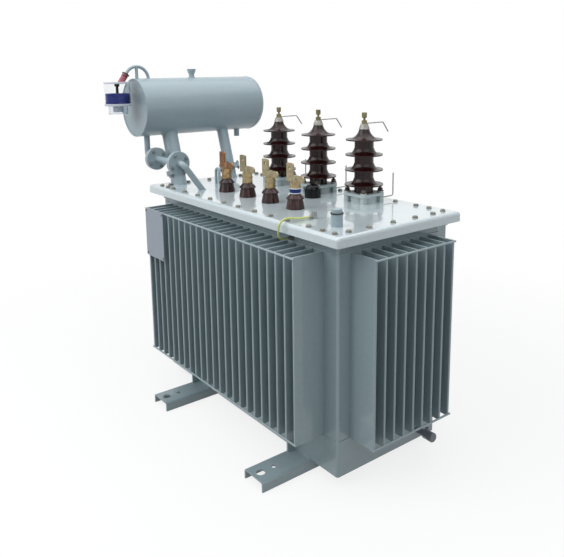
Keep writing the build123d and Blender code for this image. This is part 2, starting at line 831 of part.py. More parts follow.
with BuildPart() as arch:
    arch_plane = Plane(origin=(conservator_x, 0, 0), x_dir=(0, 1, 0), z_dir=(1, 0, 0))
    arch_z = conservator_z + arch_centre_rise
    with BuildLine(arch_plane) as arch_line:
        rise = Line((arch_y + arch_radius, conservator_z), (arch_y + arch_radius, arch_z))
        bow = CenterArc((arch_y, arch_z), arch_radius, 0, arch_sweep)
        tail = PolarLine(bow @ 1, arch_tail, arch_sweep + 90)
    with BuildSketch(Plane((conservator_x, arch_y + arch_radius, conservator_z))):
        Circle(arch_pipe_diameter / 2)
    sweep(path=arch_line.line)
    with BuildSketch(Plane((conservator_x, arch_y, conservator_z))):
        Circle(arch_strut_diameter / 2)
    extrude(amount=arch_centre_rise + arch_radius)
    cut_to_shell()
save(arch, "breather_pipe")

# Inlet that leans from the breather's top plate to the end of the arched pipe
with BuildPart() as inlet:
    with BuildSketch(Plane(origin=tail @ 1, z_dir=tail % 1)):
        Circle(inlet_diameter / 2)
    extrude(amount=arch_radius)
    split(bisect_by=Plane.XY.offset(breather_top + breather_plate_height))
save(inlet, "breather_inlet")

# Earth studs with the sockets of the bonding lead
stud_socket = Plane(
    origin=(stud_x, stud_y, cover_top + lead_socket_height), z_dir=(0, -1, 0)
)
cover_socket_length = stud_boss_diameter / 2 + lead_socket_length
wall_face = -tank_width / 2
with BuildPart() as studs:
    with BuildSketch(Plane((stud_x, stud_y, cover_top))):
        Circle(stud_boss_diameter / 2)
    extrude(amount=stud_boss_height)
    with BuildSketch(Plane((stud_x, stud_y, cover_top + stud_boss_height))):
        RegularPolygon(stud_nut_width / 2, 6, major_radius=False)
    extrude(amount=stud_nut_height)
    with BuildSketch(stud_socket):
        Circle(lead_socket_diameter / 2)
    extrude(amount=cover_socket_length)
    wall_socket = Plane(origin=(wall_stud_x, wall_face, wall_stud_z), z_dir=(0, -1, 0))
    with BuildSketch(wall_socket):
        Circle(wall_stud_diameter / 2)
    extrude(amount=wall_stud_length)
    with BuildSketch(wall_socket):
        Circle(lead_socket_diameter / 2)
    extrude(amount=wall_stud_length + lead_socket_length)
save(studs, "earth_studs")

# Bonding lead from the cover stud, over the folded edge and back to the tank wall
cover_edge = -cover_width / 2
lead_route = [
    Vector(stud_x, stud_y - cover_socket_length, cover_top + lead_socket_height),
    Vector(stud_x, cover_edge + 78, cover_top + lead_socket_height),
    Vector(stud_x - 9, cover_edge + 44, cover_top + 11),
    Vector(stud_x - 15, cover_edge + 12, cover_top + 17),
    Vector(stud_x - 18, cover_edge - 16, cover_top + 3),
    Vector(stud_x - 21, cover_edge - 22, cover_top - 26),
    Vector(stud_x - 26, cover_edge - 15, wall_stud_z + 11),
    Vector(wall_stud_x, wall_face - 48, wall_stud_z),
    Vector(wall_stud_x, wall_face - wall_stud_length - lead_socket_length, wall_stud_z),
]
lead_radii = []
for before, corner, after in zip(lead_route, lead_route[1:], lead_route[2:]):
    half_turn = (corner - before).get_angle(after - corner) / 2
    shorter = min((corner - before).length, (after - corner).length)
    lead_radii.append(0.45 * shorter / tan(radians(half_turn)))
print("lead bend radii:", [round(radius, 1) for radius in lead_radii])
with BuildPart() as lead:
    with BuildLine() as lead_line:
        FilletPolyline(*lead_route, radius=lead_radii)
    with BuildSketch(Plane(origin=lead_route[0], z_dir=lead_route[1] - lead_route[0])):
        Circle(lead_diameter / 2)
    sweep(path=lead_line.line)
save(lead, "bonding_lead")
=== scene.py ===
"""Finishes, small fittings, lights and camera for the corrugated power transformer.

Places are written in millimetres from the middle of the tank on the ground, as on a
drawing, and at() turns them into metres in the frame of the solids. The low-voltage
bushings stand along the front, which faces -Y, and the drain valve is at the +X end.
"""

from math import cos, pi, radians, sin, sqrt

import bmesh
import bpy
from mathutils import Matrix, Vector, noise


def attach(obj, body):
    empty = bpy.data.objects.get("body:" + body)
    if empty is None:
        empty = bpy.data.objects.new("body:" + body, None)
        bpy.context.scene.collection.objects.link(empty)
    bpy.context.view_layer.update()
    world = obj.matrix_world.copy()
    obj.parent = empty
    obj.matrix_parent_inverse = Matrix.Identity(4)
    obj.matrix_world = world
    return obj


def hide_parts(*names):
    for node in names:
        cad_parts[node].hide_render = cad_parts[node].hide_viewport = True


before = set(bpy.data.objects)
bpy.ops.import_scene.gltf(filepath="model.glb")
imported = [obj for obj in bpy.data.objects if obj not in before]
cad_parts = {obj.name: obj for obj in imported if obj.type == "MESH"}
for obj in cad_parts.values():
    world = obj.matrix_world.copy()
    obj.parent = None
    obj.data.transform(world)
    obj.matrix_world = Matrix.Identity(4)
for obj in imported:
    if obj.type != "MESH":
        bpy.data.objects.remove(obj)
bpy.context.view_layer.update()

UP = Vector((0, 0, 1))
RIGHTWARD = Vector((1, 0, 0))
BACKWARD = Vector((0, 1, 0))
TANK_MIDDLE = Vector((0.0515, 0.0045, 0))

# Heights and edges of the tank and its cover, in millimetres
SKIRT_FOOT = 40
FIN_FOOT = 180
FIN_TOP = 880
COVER_TOP = 962
TANK_X = 630
TANK_Y = 265

# The undercarriage channels, in millimetres
CHANNEL_X = (-315, 425)
CHANNEL_HALF_WIDTH = 47
GUSSET_OFFSET = 39
GUSSET_HEIGHT = 86

# The conservator, its pipe and its breather, in millimetres
VESSEL_X = -720
VESSEL_Z = 1336
VESSEL_RADIUS = 139
VESSEL_FRONT = -361
VESSEL_BACK = 287
FILLER_Y = -41
DRAIN_Y = 222
ARCH_Y = (-280, -340)
LEG_FOOT_X = -600
PIPE_Y = -303
PIPE_Z = 1094
PIPE_FLANGE_X = (-629, -411)
PIPE_FLANGE_HALF = 11
BREATHER_Y = -443
BREATHER_FOOT = 1360

# The high-voltage bushings and their clamps, in millimetres
HV_X = (-277, 13, 303)
HV_Y = 175
HV_CLAMP_TOP = COVER_TOP + 45
HV_CLAMP_CORNER = 48
HV_CONNECTOR_FOOT = 1284

# The low-voltage bushings, in millimetres
NEUTRAL_X = 229
LV_Y = -130
LV_PALM_FOOT = 1068

# The face of the rating plate panel, in millimetres
PANEL_Y = -409


def at(x, y, z):
    """The place x, y, z in the frame of the solids, from millimetres off the middle."""
    return Vector((x, y, z)) / 1000 + TANK_MIDDLE


def facing(place, direction):
    """The matrix that stands a shape made along +Z at a place, along a direction."""
    turn = Vector(direction).normalized().to_track_quat("Z", "Y")
    return Matrix.Translation(place) @ turn.to_matrix().to_4x4()


def raised(seat, height):
    """The same seat, moved up its own Z by millimetres."""
    return seat @ Matrix.Translation((0, 0, height / 1000))


# Camera, fitted to the photograph. Its measures are in the photograph's pixels, and the
# principal row is the one that the camera's axis meets.

PICTURE_WIDTH = 564
PICTURE_HEIGHT = 557
PRINCIPAL_ROW = 190
FOCAL_LENGTH = 656.8
SENSOR_WIDTH = 36

view_turn, view_tilt, view_roll = radians(52.817), radians(10.359), radians(-0.78)
back = Vector(
    (sin(view_turn) * cos(view_tilt), -cos(view_turn) * cos(view_tilt), sin(view_tilt))
)
level = Vector((cos(view_turn), sin(view_turn), 0))
upright = back.cross(level)
right = cos(view_roll) * level + sin(view_roll) * upright
top = cos(view_roll) * upright - sin(view_roll) * level
lens = bpy.data.cameras.new("view")
lens.lens = FOCAL_LENGTH / PICTURE_WIDTH * SENSOR_WIDTH
lens.shift_y = (PRINCIPAL_ROW - PICTURE_HEIGHT / 2) / PICTURE_WIDTH
lens.clip_end = 60
camera = bpy.data.objects.new("view", lens)
turned_view = Matrix((right, top, back)).transposed().to_4x4()
camera.matrix_world = Matrix.Translation(at(2240.3, -1721.8, 1506.1)) @ turned_view
bpy.context.scene.collection.objects.link(camera)
bpy.context.scene.camera = camera


# Finishes


class Signal:
    """A value or colour in a finish; arithmetic on it adds the finish's maths nodes."""

    def __init__(self, tree, socket):
        self.tree = tree
        self.socket = socket

    def maths(self, operation, first, second):
        sockets = {0: first, 1: second}
        return self.tree.node("ShaderNodeMath", sockets, operation=operation)

    def __add__(self, other):
        return self.maths("ADD", self, other)

    def __radd__(self, other):
        return self.maths("ADD", other, self)

    def __sub__(self, other):
        return self.maths("SUBTRACT", self, other)

    def __rsub__(self, other):
        return self.maths("SUBTRACT", other, self)

    def __mul__(self, other):
        return self.maths("MULTIPLY", self, other)

    def __abs__(self):
        return self.maths("ABSOLUTE", self, 0.0)

    def above(self, limit):
        return self.maths("GREATER_THAN", self, limit)

    def most(self, other):
        return self.maths("MAXIMUM", self, other)

    def between(self, low, high):
        """This value, spread so that low is 0 and high is 1, and kept there."""
        sockets = {0: self, 1: low, 2: high, 3: 0.0, 4: 1.0}
        return self.tree.node("ShaderNodeMapRange", sockets, clamp=True)


class Tree:
    """The nodes of a material or of the world, each of them made by one method."""

    def __init__(self, owner, output):
        owner.use_nodes = True
        self.nodes = owner.node_tree.nodes
        self.links = owner.node_tree.links
        self.nodes.clear()
        self.output = self.nodes.new(output)

    def node(self, kind, sockets, output=0, **settings):
        """A node with its settings and sockets filled in, as a signal of one output."""
        node = self.nodes.new(kind)
        for name, value in settings.items():
            setattr(node, name, value)
        for socket, value in sockets.items():
            if isinstance(value, Signal):
                self.links.new(value.socket, node.inputs[socket])
            else:
                node.inputs[socket].default_value = value
        return Signal(self, node.outputs[output])

    def shows(self, shader):
        self.links.new(shader.socket, self.output.inputs[0])

    def seen(self):
        """1 for what the camera sees, directly, in a gloss or through glass, else 0."""
        rays = [
            self.node("ShaderNodeLightPath", {}, name)
            for name in ("Is Camera Ray", "Is Glossy Ray", "Is Transmission Ray")
        ]
        return rays[0].most(rays[1]).most(rays[2])


class Finish(Tree):
    """One material, built from a principled shader and the patterns that feed it."""

    def __init__(self, name, **constants):
        self.material = bpy.data.materials.new(name)
        super().__init__(self.material, "ShaderNodeOutputMaterial")
        self.shader = self.nodes.new("ShaderNodeBsdfPrincipled")
        self.links.new(self.shader.outputs[0], self.output.inputs[0])
        self.place = self.node("ShaderNodeTexCoord", {}, "Object")
        for socket, value in constants.items():
            self.shader.inputs[socket.replace("_", " ")].default_value = value

    def stretched(self, x, y, z):
        """The place on the piece, scaled along each axis."""
        sockets = {"Vector": self.place, "Scale": (x, y, z)}
        return self.node("ShaderNodeMapping", sockets)

    def height(self):
        return self.node("ShaderNodeSeparateXYZ", {0: self.place}, "Z")

    def cloud(self, scale, detail, roughness=0.55, place=None):
        """Soft noise about 0.5."""
        sockets = {
            "Vector": place or self.place,
            "Scale": scale,
            "Detail": detail,
            "Roughness": roughness,
        }
        return self.node("ShaderNodeTexNoise", sockets)

    def cells(self, scale, output="Distance"):
        sockets = {"Vector": self.place, "Scale": scale}
        return self.node("ShaderNodeTexVoronoi", sockets, output)

    def blend(self, amount, first, second):
        """One colour over another by amount."""
        sockets = {0: amount, 6: first, 7: second}
        return self.node("ShaderNodeMix", sockets, 2, data_type="RGBA")

    def feed(self, **signals):
        """Connects patterns to the shader, each under its socket's name."""
        for name, signal in signals.items():
            socket = self.shader.inputs[name.replace("_", " ")]
            self.links.new(signal.socket, socket)

    def relief(self, *layers):
        """Bumps, each a pattern with its depth in metres, laid one over the other."""
        normal = None
        for pattern, depth in layers:
            sockets = {"Height": pattern, "Distance": depth, "Strength": 1.0}
            if normal:
                sockets["Normal"] = normal
            normal = self.node("ShaderNodeBump", sockets)
        self.feed(Normal=normal)


def colour(red, green, blue):
    """A colour from the 0 to 255 figures of a screen."""
    linear = [
        v / 12.92 if v <= 0.04045 else ((v + 0.055) / 1.055) ** 2.4
        for v in (red / 255, green / 255, blue / 255)
    ]
    return (*linear, 1.0)


def paint(name, coat, shade, roughness, dust=0.25, waves=0.0012, **constants):
    """Sprayed enamel: slight mottling, orange peel, and dull dust in soft patches."""
    finish = Finish(name, Coat_Weight=coat, **constants)
    clouds = finish.cloud(3.0, 5.0)
    grain = finish.cloud(60.0, 3.0)
    runs = finish.cloud(9.0, 3.0, place=finish.stretched(6, 6, 0.5))
    dusty = (clouds * 0.6 + runs * 0.4).between(0.42, 0.66) * dust
    deeper = (*(v * 0.94 for v in shade[:3]), 1.0)
    plain_dust = (0.44, 0.45, 0.42)
    dust_shade = (*(v * 0.75 + 0.25 * d for v, d in zip(shade, plain_dust)), 1.0)
    mottled = finish.blend(grain.between(0.35, 0.75), shade, deeper)
    finish.feed(
        Base_Color=finish.blend(dusty, mottled, dust_shade),
        Roughness=roughness + dusty * 0.5 + (grain - 0.5) * 0.12,
    )
    peel = finish.cloud(420.0, 2.0)
    finish.relief((finish.cloud(7.0, 2.0), waves), (peel, 0.00012))
    return finish.material


def bare_metal(name, shade, dull_shade, roughness, tarnish, metallic=1.0, upper=None):
    """Worked metal with turning marks, soft tarnish and pits. Upper holds the height in
    millimetres where another metal begins, with that metal's shade and dull shade."""
    finish = Finish(name)
    if upper:
        foot, upper_shade, upper_dull_shade = upper
        over = finish.height().above((foot + 0.3) / 1000)
        shade = finish.blend(over, shade, upper_shade)
        dull_shade = finish.blend(over, dull_shade, upper_dull_shade)
    patches = finish.cloud(70.0, 5.0, 0.6)
    stains = finish.cloud(240.0, 4.0, 0.6)
    marks = finish.cloud(110.0, 3.0, place=finish.stretched(1, 1, 14))
    dull = (patches * 0.6 + stains * 0.4).between(0.62 - tarnish, 0.72)
    finish.feed(
        Base_Color=finish.blend(dull, shade, dull_shade),
        Metallic=metallic - dull * 0.35,
        Roughness=roughness + dull * 0.3 + (marks - 0.5) * 0.2,
    )
    finish.relief((stains, 0.00015), (marks, 0.00008))
    return finish.material


def glaze(name, shade, highlight_shade, sheen_strength):
    """Fired glaze over porcelain, with painted highlight in lighter streaks running
    downwards and a few light specks.
    """
    finish = Finish(name, Coat_Weight=0.4, Coat_Roughness=0.05, Specular_IOR_Level=0.12)
    pooled = finish.cloud(45.0, 4.0, place=finish.stretched(1, 1, 0.25))
    specks = finish.cloud(500.0, 2.0)
    # Painted highlight: lighter streaks in the base colour where the glaze shines
    sheen_streaks = pooled.between(0.5, 0.75) * sheen_strength
    light = sheen_streaks + specks.between(0.68, 0.8) * 0.15
    finish.feed(
        Base_Color=finish.blend(light, shade, highlight_shade),
        Roughness=0.26 + pooled * 0.1,
    )
    finish.relief((finish.cloud(35.0, 2.0), 0.0006), (pooled, 0.0003))
    return finish.material


def moulded(name, shade, roughness, speckle=0.2, **constants):
    """Moulded plastic or rubber with a fine grain."""
    finish = Finish(name, **constants)
    grain = finish.cloud(650.0, 2.0)
    wear = finish.cloud(40.0, 4.0)
    paler = (*(min(1.0, v * 1.5 + 0.01) for v in shade[:3]), 1.0)
    finish.feed(
        Base_Color=finish.blend(wear.between(0.5, 0.75) * speckle, shade, paler),
        Roughness=roughness + (wear - 0.5) * 0.25,
    )
    finish.relief((wear, 0.0003), (grain, 0.00008))
    return finish.material


def clear_plastic(name, shade, roughness, refraction):
    """Clear moulded plastic, a little scuffed."""
    finish = Finish(
        name,
        Transmission_Weight=1.0,
        IOR=refraction,
        Specular_IOR_Level=0.3,
        Base_Color=shade,
    )
    scuffs = finish.cloud(90.0, 5.0)
    finish.feed(Roughness=roughness + scuffs.between(0.55, 0.8) * 0.15)
    finish.relief((scuffs, 0.0001))
    return finish.material


def drying_beads():
    """Loose blue beads, lighter where some are spent."""
    finish = Finish("drying_beads", Specular_IOR_Level=0.3)
    beads = finish.cells(330.0)
    tone = finish.node("ShaderNodeSeparateColor", {0: finish.cells(330.0, "Color")})
    finish.feed(
        Base_Color=finish.blend(tone * 0.6, colour(8, 22, 92), colour(26, 50, 138)),
        Roughness=0.4 + beads * 0.5,
    )
    finish.relief((1.0 - beads, 0.002))
    return finish.material


def earth_sheath():
    """Yellow wire sheath with a green stripe along it."""
    finish = Finish("earth_sheath")
    unrolled = finish.node("ShaderNodeTexCoord", {}, "UV")
    around = finish.node("ShaderNodeSeparateXYZ", {0: unrolled}, "Y")
    plain = abs(around - 0.62).between(0.1, 0.12)
    soil = finish.cloud(60.0, 4.0)
    sheath = finish.blend(plain, colour(112, 146, 70), colour(198, 204, 122))
    soiled = soil.between(0.5, 0.8) * 0.4
    finish.feed(
        Base_Color=finish.blend(soiled, sheath, colour(150, 152, 118)),
        Roughness=0.38 + soil * 0.15,
    )
    finish.relief((soil, 0.0002))
    return finish.material


tank_paint = paint("tank_paint", 0.5, colour(139, 157, 163), 0.36, waves=0.0007)
cover_paint = paint(
    "cover_paint",
    1.0,
    colour(199, 212, 217),
    0.24,
    dust=0.05,
    waves=0.0003,
    Coat_Roughness=0.05,
)
vessel_paint = paint("vessel_paint", 0.3, colour(150, 168, 176), 0.38, waves=0.0006)
cast_paint = paint("cast_paint", 0.1, colour(176, 188, 190), 0.5, dust=0.4)
# Painted shade: a darker copy of the vessel paint for the painted-over flange bolts,
# with dust
shaded_bolt_paint = paint("shaded_bolt_paint", 0.2, colour(112, 122, 122), 0.45, dust=0.4)
plate_metal = bare_metal(
    "plate_metal", colour(142, 151, 162), colour(122, 129, 139), 0.42, 0.05, 0.7
)
brass = bare_metal(
    "brass",
    colour(166, 150, 114),
    colour(100, 80, 58),
    0.32,
    0.18,
    upper=(LV_PALM_FOOT, colour(164, 154, 126), colour(108, 94, 72)),
)
copper_brass = bare_metal(
    "copper_brass",
    colour(168, 140, 104),
    colour(108, 80, 56),
    0.36,
    0.16,
    upper=(LV_PALM_FOOT, colour(156, 118, 88), colour(108, 78, 58)),
)
cap_metal = bare_metal(
    "cap_metal",
    colour(158, 156, 150),
    colour(116, 110, 104),
    0.5,
    0.15,
    0.4,
    upper=(HV_CONNECTOR_FOOT, colour(128, 118, 84), colour(74, 64, 44)),
)
zinc = bare_metal("zinc", colour(150, 152, 150), colour(96, 96, 92), 0.4, 0.15)
worn_bolt = bare_metal(
    "worn_bolt", colour(146, 147, 140), colour(102, 100, 90), 0.5, 0.2, 0.6
)
dark_bolt = bare_metal(
    "dark_bolt", colour(92, 88, 82), colour(66, 54, 46), 0.5, 0.2, 0.7
)
# The second shade of each glaze is its painted highlight, laid in streaks
maroon_glaze = glaze("maroon_glaze", colour(34, 12, 13), colour(66, 28, 26), 0.5)
brown_glaze = glaze("brown_glaze", colour(38, 18, 19), colour(94, 56, 46), 0.8)
black_plastic = moulded(
    "black_plastic", colour(8, 10, 15), 0.16, speckle=0.1, Specular_IOR_Level=0.2
)
blue_plastic = moulded(
    "blue_plastic", colour(16, 36, 98), 0.28, speckle=0.1, Specular_IOR_Level=0.25
)
white_plastic = moulded("white_plastic", colour(206, 212, 222), 0.3)
grey_plastic = moulded("grey_plastic", colour(158, 164, 174), 0.35)
red_plastic = moulded("red_plastic", colour(144, 70, 84), 0.35)
gasket_rubber = moulded("gasket_rubber", colour(36, 38, 38), 0.75)
mauve_paint = paint("mauve_paint", 0.1, colour(112, 116, 128), 0.45)
clear_jar = clear_plastic("clear_jar", (0.94, 0.95, 0.96, 1.0), 0.03, 1.18)
smoked_cup = clear_plastic("smoked_cup", (0.86, 0.89, 0.92, 1.0), 0.1, 1.2)
gel_beads = drying_beads()
wire_sheath = earth_sheath()

solid_finishes = {
    tank_paint: (
        "tank_body tank_flange corrugated_wall_front corrugated_wall_back "
        "corrugated_wall_left corrugated_wall_right undercarriage_channel_left "
        "undercarriage_channel_right"
    ),
    cover_paint: "cover_plate",
    vessel_paint: (
        "conservator_shell conservator_end_front conservator_end_back "
        "conservator_filler conservator_drain conservator_leg_front "
        "conservator_leg_back conservator_foot_front conservator_foot_back "
        "riser_pipe spacer_pipe cover_pipe breather_pipe thermometer_pocket "
        "lifting_lug"
    ),
    cast_paint: "hv_clamp_1 hv_clamp_2 hv_clamp_3",
    plate_metal: "rating_plate_panel",
    mauve_paint: "drain_valve",
    gasket_rubber: "cover_gasket",
    maroon_glaze: "hv_porcelain_1 hv_porcelain_2 hv_porcelain_3",
    brown_glaze: "lv_porcelain_1 lv_porcelain_2 lv_porcelain_3 lv_porcelain_4",
    brass: "lv_terminal_2 lv_terminal_3 lv_terminal_4",
    copper_brass: "lv_terminal_1",
    cap_metal: "hv_terminal_1 hv_terminal_2 hv_terminal_3",
    zinc: "hv_arcing_horns earth_studs",
    blue_plastic: "neutral_ring",
    black_plastic: "tap_changer_knob",
    clear_jar: "breather_glass",
    white_plastic: "breather_head",
    red_plastic: "breather_inlet",
    gel_beads: "silica_gel",
}
for finish, nodes in solid_finishes.items():
    for node in nodes.split():
        for material_slot in bpy.data.objects[node].material_slots:
            material_slot.material = finish


# Bonding lead, before the other pieces: from the stub on the cover over the rim to the
# tank

lead_route = [
    (415, -212, 971),
    (415, -242, 971),
    (406, -276, 973),
    (400, -308, 979),
    (397, -336, 965),
    (394, -342, 936),
    (389, -335, 907),
    (380, -313, 896),
    (380, -289, 896),
]
lead_line = bpy.data.curves.new("bonding_wire", "CURVE")
lead_line.dimensions = "3D"
lead_line.bevel_depth = 0.004
lead_line.bevel_resolution = 4
lead_line.resolution_u = 10
lead_line.use_fill_caps = True
spline = lead_line.splines.new("NURBS")
spline.points.add(len(lead_route) - 1)
for point, place in zip(spline.points, lead_route):
    point.co = (*at(*place), 1)
spline.order_u = 3
spline.use_endpoint_u = True
lead_line.materials.append(wire_sheath)
bonding_wire = bpy.data.objects.new("bonding_wire", lead_line)
bpy.context.scene.collection.objects.link(bonding_wire)
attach(bonding_wire, "root")
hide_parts("bonding_lead")


# Small fittings, with their sizes in millimetres


def finish_piece(name, form, material, edge=0.0):
    """Turns a bmesh into a named piece that rides with the transformer."""
    bmesh.ops.remove_doubles(form, verts=form.verts, dist=1e-6)
    bmesh.ops.recalc_face_normals(form, faces=form.faces)
    mesh = bpy.data.meshes.new(name)
    form.to_mesh(mesh)
    form.free()
    mesh.materials.append(material)
    piece = bpy.data.objects.new(name, mesh)
    bpy.context.scene.collection.objects.link(piece)
    mesh.shade_smooth()
    mesh.set_sharp_from_angle(angle=radians(38))
    if edge:
        rounding = piece.modifiers.new("rounding", "BEVEL")
        rounding.width = edge / 1000
        rounding.segments = 2
        rounding.limit_method = "ANGLE"
        rounding.angle_limit = radians(40)
    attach(piece, "root")
    return piece


def disc(form, seat, radius, height, sides, top_radius=None):
    """A round or many-sided slug standing on its seat, along the seat's Z."""
    bmesh.ops.create_cone(
        form,
        cap_ends=True,
        segments=sides,
        radius1=radius / 1000,
        radius2=(radius if top_radius is None else top_radius) / 1000,
        depth=height / 1000,
        matrix=raised(seat, height / 2),
    )


def turned(form, seat, section, steps=40, ring=True):
    """A piece turned from its section, given as radius and height above its seat: a
    ring with a closed section, or a body whose section starts and ends on the axis."""
    points = [
        form.verts.new(seat @ Vector((radius / 1000, 0, height / 1000)))
        for radius, height in section
    ]
    following = points[1:] + points[:1] if ring else points[1:]
    edges = [form.edges.new(pair) for pair in zip(points, following)]
    bmesh.ops.spin(
        form,
        geom=points + edges,
        cent=seat.translation,
        axis=seat.to_3x3() @ UP,
        angle=2 * pi,
        steps=steps,
        use_merge=True,
    )


def bolt(form, place, direction, across, head, washer=0.0, stub=0.0, turn=0.0):
    """A hexagon head on its washer, with the end of the thread standing out of it."""
    seat = facing(place, direction) @ Matrix.Rotation(turn, 4, "Z")
    if washer:
        washer_height = 2.0
        disc(form, seat, washer / 2, washer_height, 20)
        seat = raised(seat, washer_height)
    corner = across / 2 / cos(pi / 6)
    straight = head * 0.78
    disc(form, seat, corner, straight, 6)
    disc(form, raised(seat, straight), corner, head * 0.22, 6, corner * 0.86)
    if stub:
        thread = across * 0.3
        disc(form, raised(seat, head), thread, stub * 0.8, 14)
        tip = raised(seat, head + stub * 0.8)
        disc(form, tip, thread, stub * 0.2, 14, across * 0.24)


def bead(form, start, end, radius):
    """A straight weld bead, rippled along its length."""
    run = end - start
    own = set(
        bmesh.ops.create_cone(
            form,
            cap_ends=True,
            segments=8,
            radius1=radius / 1000,
            radius2=radius / 1000,
            depth=run.length,
            matrix=facing((start + end) / 2, run),
        )["verts"]
    )
    along = [
        edge
        for edge in form.edges
        if own.issuperset(edge.verts) and edge.calc_length() > run.length * 0.9
    ]
    cuts = max(2, int(run.length / 0.009))
    split = bmesh.ops.subdivide_edges(form, edges=along, cuts=cuts, use_grid_fill=True)
    inner = [v for v in split["geom_inner"] if isinstance(v, bmesh.types.BMVert)]
    direction = run.normalized()
    for vert in dict.fromkeys(inner):
        distance = (vert.co - start).dot(direction)
        middle = start + direction * distance
        swell = 1 + 0.25 * noise.noise(vert.co * 160) + 0.18 * sin(distance * 700)
        vert.co = middle + (vert.co - middle) * swell


def ring_bead(form, place, direction, ring, radius, steps, saddle=0.0, stretch=1.0):
    """A weld bead round a pipe. A saddle is the radius of the vessel that the pipe
    meets along its own Z, and stretch lengthens the bead along X where a leg leans."""
    seat = facing(place, direction)
    section = [
        (ring + radius * cos(pi * side / 4), radius * sin(pi * side / 4))
        for side in range(8)
    ]
    bent = bmesh.new()
    turned(bent, seat, section, steps)
    along = seat.to_3x3() @ UP
    across = along.cross(BACKWARD)
    for vert in bent.verts:
        offset = vert.co - place
        if saddle:
            side = min(abs(offset.dot(across)) * 1000, saddle)
            vert.co += along * (saddle - sqrt(saddle**2 - side**2)) / 1000
        vert.co.x = place.x + (vert.co.x - place.x) * stretch
        vert.co += offset.normalized() * 0.0006 * noise.noise(vert.co * 210)
    mesh = bpy.data.meshes.new("ring_bead")
    bent.to_mesh(mesh)
    bent.free()
    form.from_mesh(mesh)
    bpy.data.meshes.remove(mesh)


# Bolts round the cover, each pulling it down on the tank's flange
cover_bolts = bmesh.new()
front_row = [-604, -545, -490, -381, -268, -159, -50, 58, 174, 282, 384, 506, 581, 643]
right_row = [-236, -140, -18, 98, 198]
back_row = [643, 575, 508, 397, 284, 171, 58, -55, -168, -281, -394, -500, -552, -604]
left_row = [-145, -25, 55, 165, 215]
places = [(x, -291) for x in front_row] + [(652, y) for y in right_row]
places += [(x, 266) for x in back_row] + [(-606, y) for y in left_row]
places.append((-596, -251))
for number, (x, y) in enumerate(places):
    place = at(x, y, COVER_TOP)
    bolt(cover_bolts, place, UP, across=17, head=6.5, washer=22, turn=number * 0.7)
finish_piece("cover_bolts", cover_bolts, worn_bolt)

# Welds: the seams above and below the fins, which stop short of the tank's corners, and
# the channels with their gussets
tank_welds = bmesh.new()
seam_x, seam_y = TANK_X - 8, TANK_Y - 8
channel_top = SKIRT_FOOT + 1
for side in (-1, 1):
    for z in (FIN_FOOT, FIN_TOP):
        y = side * (TANK_Y + 1)
        bead(tank_welds, at(-seam_x, y, z), at(seam_x, y, z), 2.6)
        x = side * (TANK_X + 1)
        bead(tank_welds, at(x, -seam_y, z), at(x, seam_y, z), 2.6)
    for channel_x in CHANNEL_X:
        y = side * TANK_Y
        start = at(channel_x - CHANNEL_HALF_WIDTH, y, channel_top)
        bead(tank_welds, start, at(channel_x + CHANNEL_HALF_WIDTH, y, channel_top), 3.2)
        gusset_x = channel_x - GUSSET_OFFSET
        start = at(gusset_x, y, channel_top)
        bead(tank_welds, start, at(gusset_x, y, channel_top + GUSSET_HEIGHT), 2.6)
finish_piece("tank_welds", tank_welds, tank_paint)

# Welds of the conservator and of what stands on it: its ends, filler, breather pipe,
# drain and riser
vessel_welds = bmesh.new()
vessel_top = VESSEL_Z + VESSEL_RADIUS
vessel_bottom = VESSEL_Z - VESSEL_RADIUS
front_end = at(VESSEL_X, VESSEL_FRONT + 3, VESSEL_Z)
ring_bead(vessel_welds, front_end, -BACKWARD, 133.5, 2.4, 64)
back_end = at(VESSEL_X, VESSEL_BACK, VESSEL_Z)
ring_bead(vessel_welds, back_end, BACKWARD, 138.6, 1.8, 72)
filler_foot = at(VESSEL_X, FILLER_Y, vessel_top)
ring_bead(vessel_welds, filler_foot, -UP, 15, 2.4, 24, saddle=VESSEL_RADIUS)
for y in ARCH_Y:
    place = at(VESSEL_X, y, vessel_top)
    ring_bead(vessel_welds, place, -UP, 8, 2.0, 16, saddle=VESSEL_RADIUS)
for y in (DRAIN_Y, PIPE_Y):
    place = at(VESSEL_X, y, vessel_bottom)
    ring_bead(vessel_welds, place, UP, 15, 2.3, 24, saddle=VESSEL_RADIUS)

# The legs that lean out to the conservator, welded at both ends, and the bolts of the
# flanges in their feet
leg_lean = Vector((VESSEL_X - LEG_FOOT_X, 0, VESSEL_Z - COVER_TOP))
leg_length = leg_lean.length
leg_lean.normalize()
across_leg = leg_lean.cross(BACKWARD)
flange_bolts = bmesh.new()
flange_middle, flange_half = 58, 10
for leg_y, leg_radius, first_angle in ((-200, 38, 0.4), (105, 28, 0.9)):
    ring = leg_radius + 1
    foot = Vector((LEG_FOOT_X, leg_y, COVER_TOP))
    place = at(*(foot + leg_lean * (leg_length - VESSEL_RADIUS)))
    ring_bead(vessel_welds, place, leg_lean, ring, 3.2, 48, saddle=VESSEL_RADIUS)
    ring_bead(vessel_welds, at(*foot), UP, ring, 2.8, 44, stretch=1.05)
    for side in (-1, 1):
        face = foot + leg_lean * (flange_middle + flange_half * side)
        ring_bead(vessel_welds, at(*face), leg_lean, ring, 2.4, 44)
        for number in range(4):
            angle = first_angle + pi / 2 * number
            spoke = (BACKWARD * cos(angle) + across_leg * sin(angle)) * 45
            place = at(*(face + spoke))
            bolt(flange_bolts, place, leg_lean * side, across=13, head=7, stub=6)

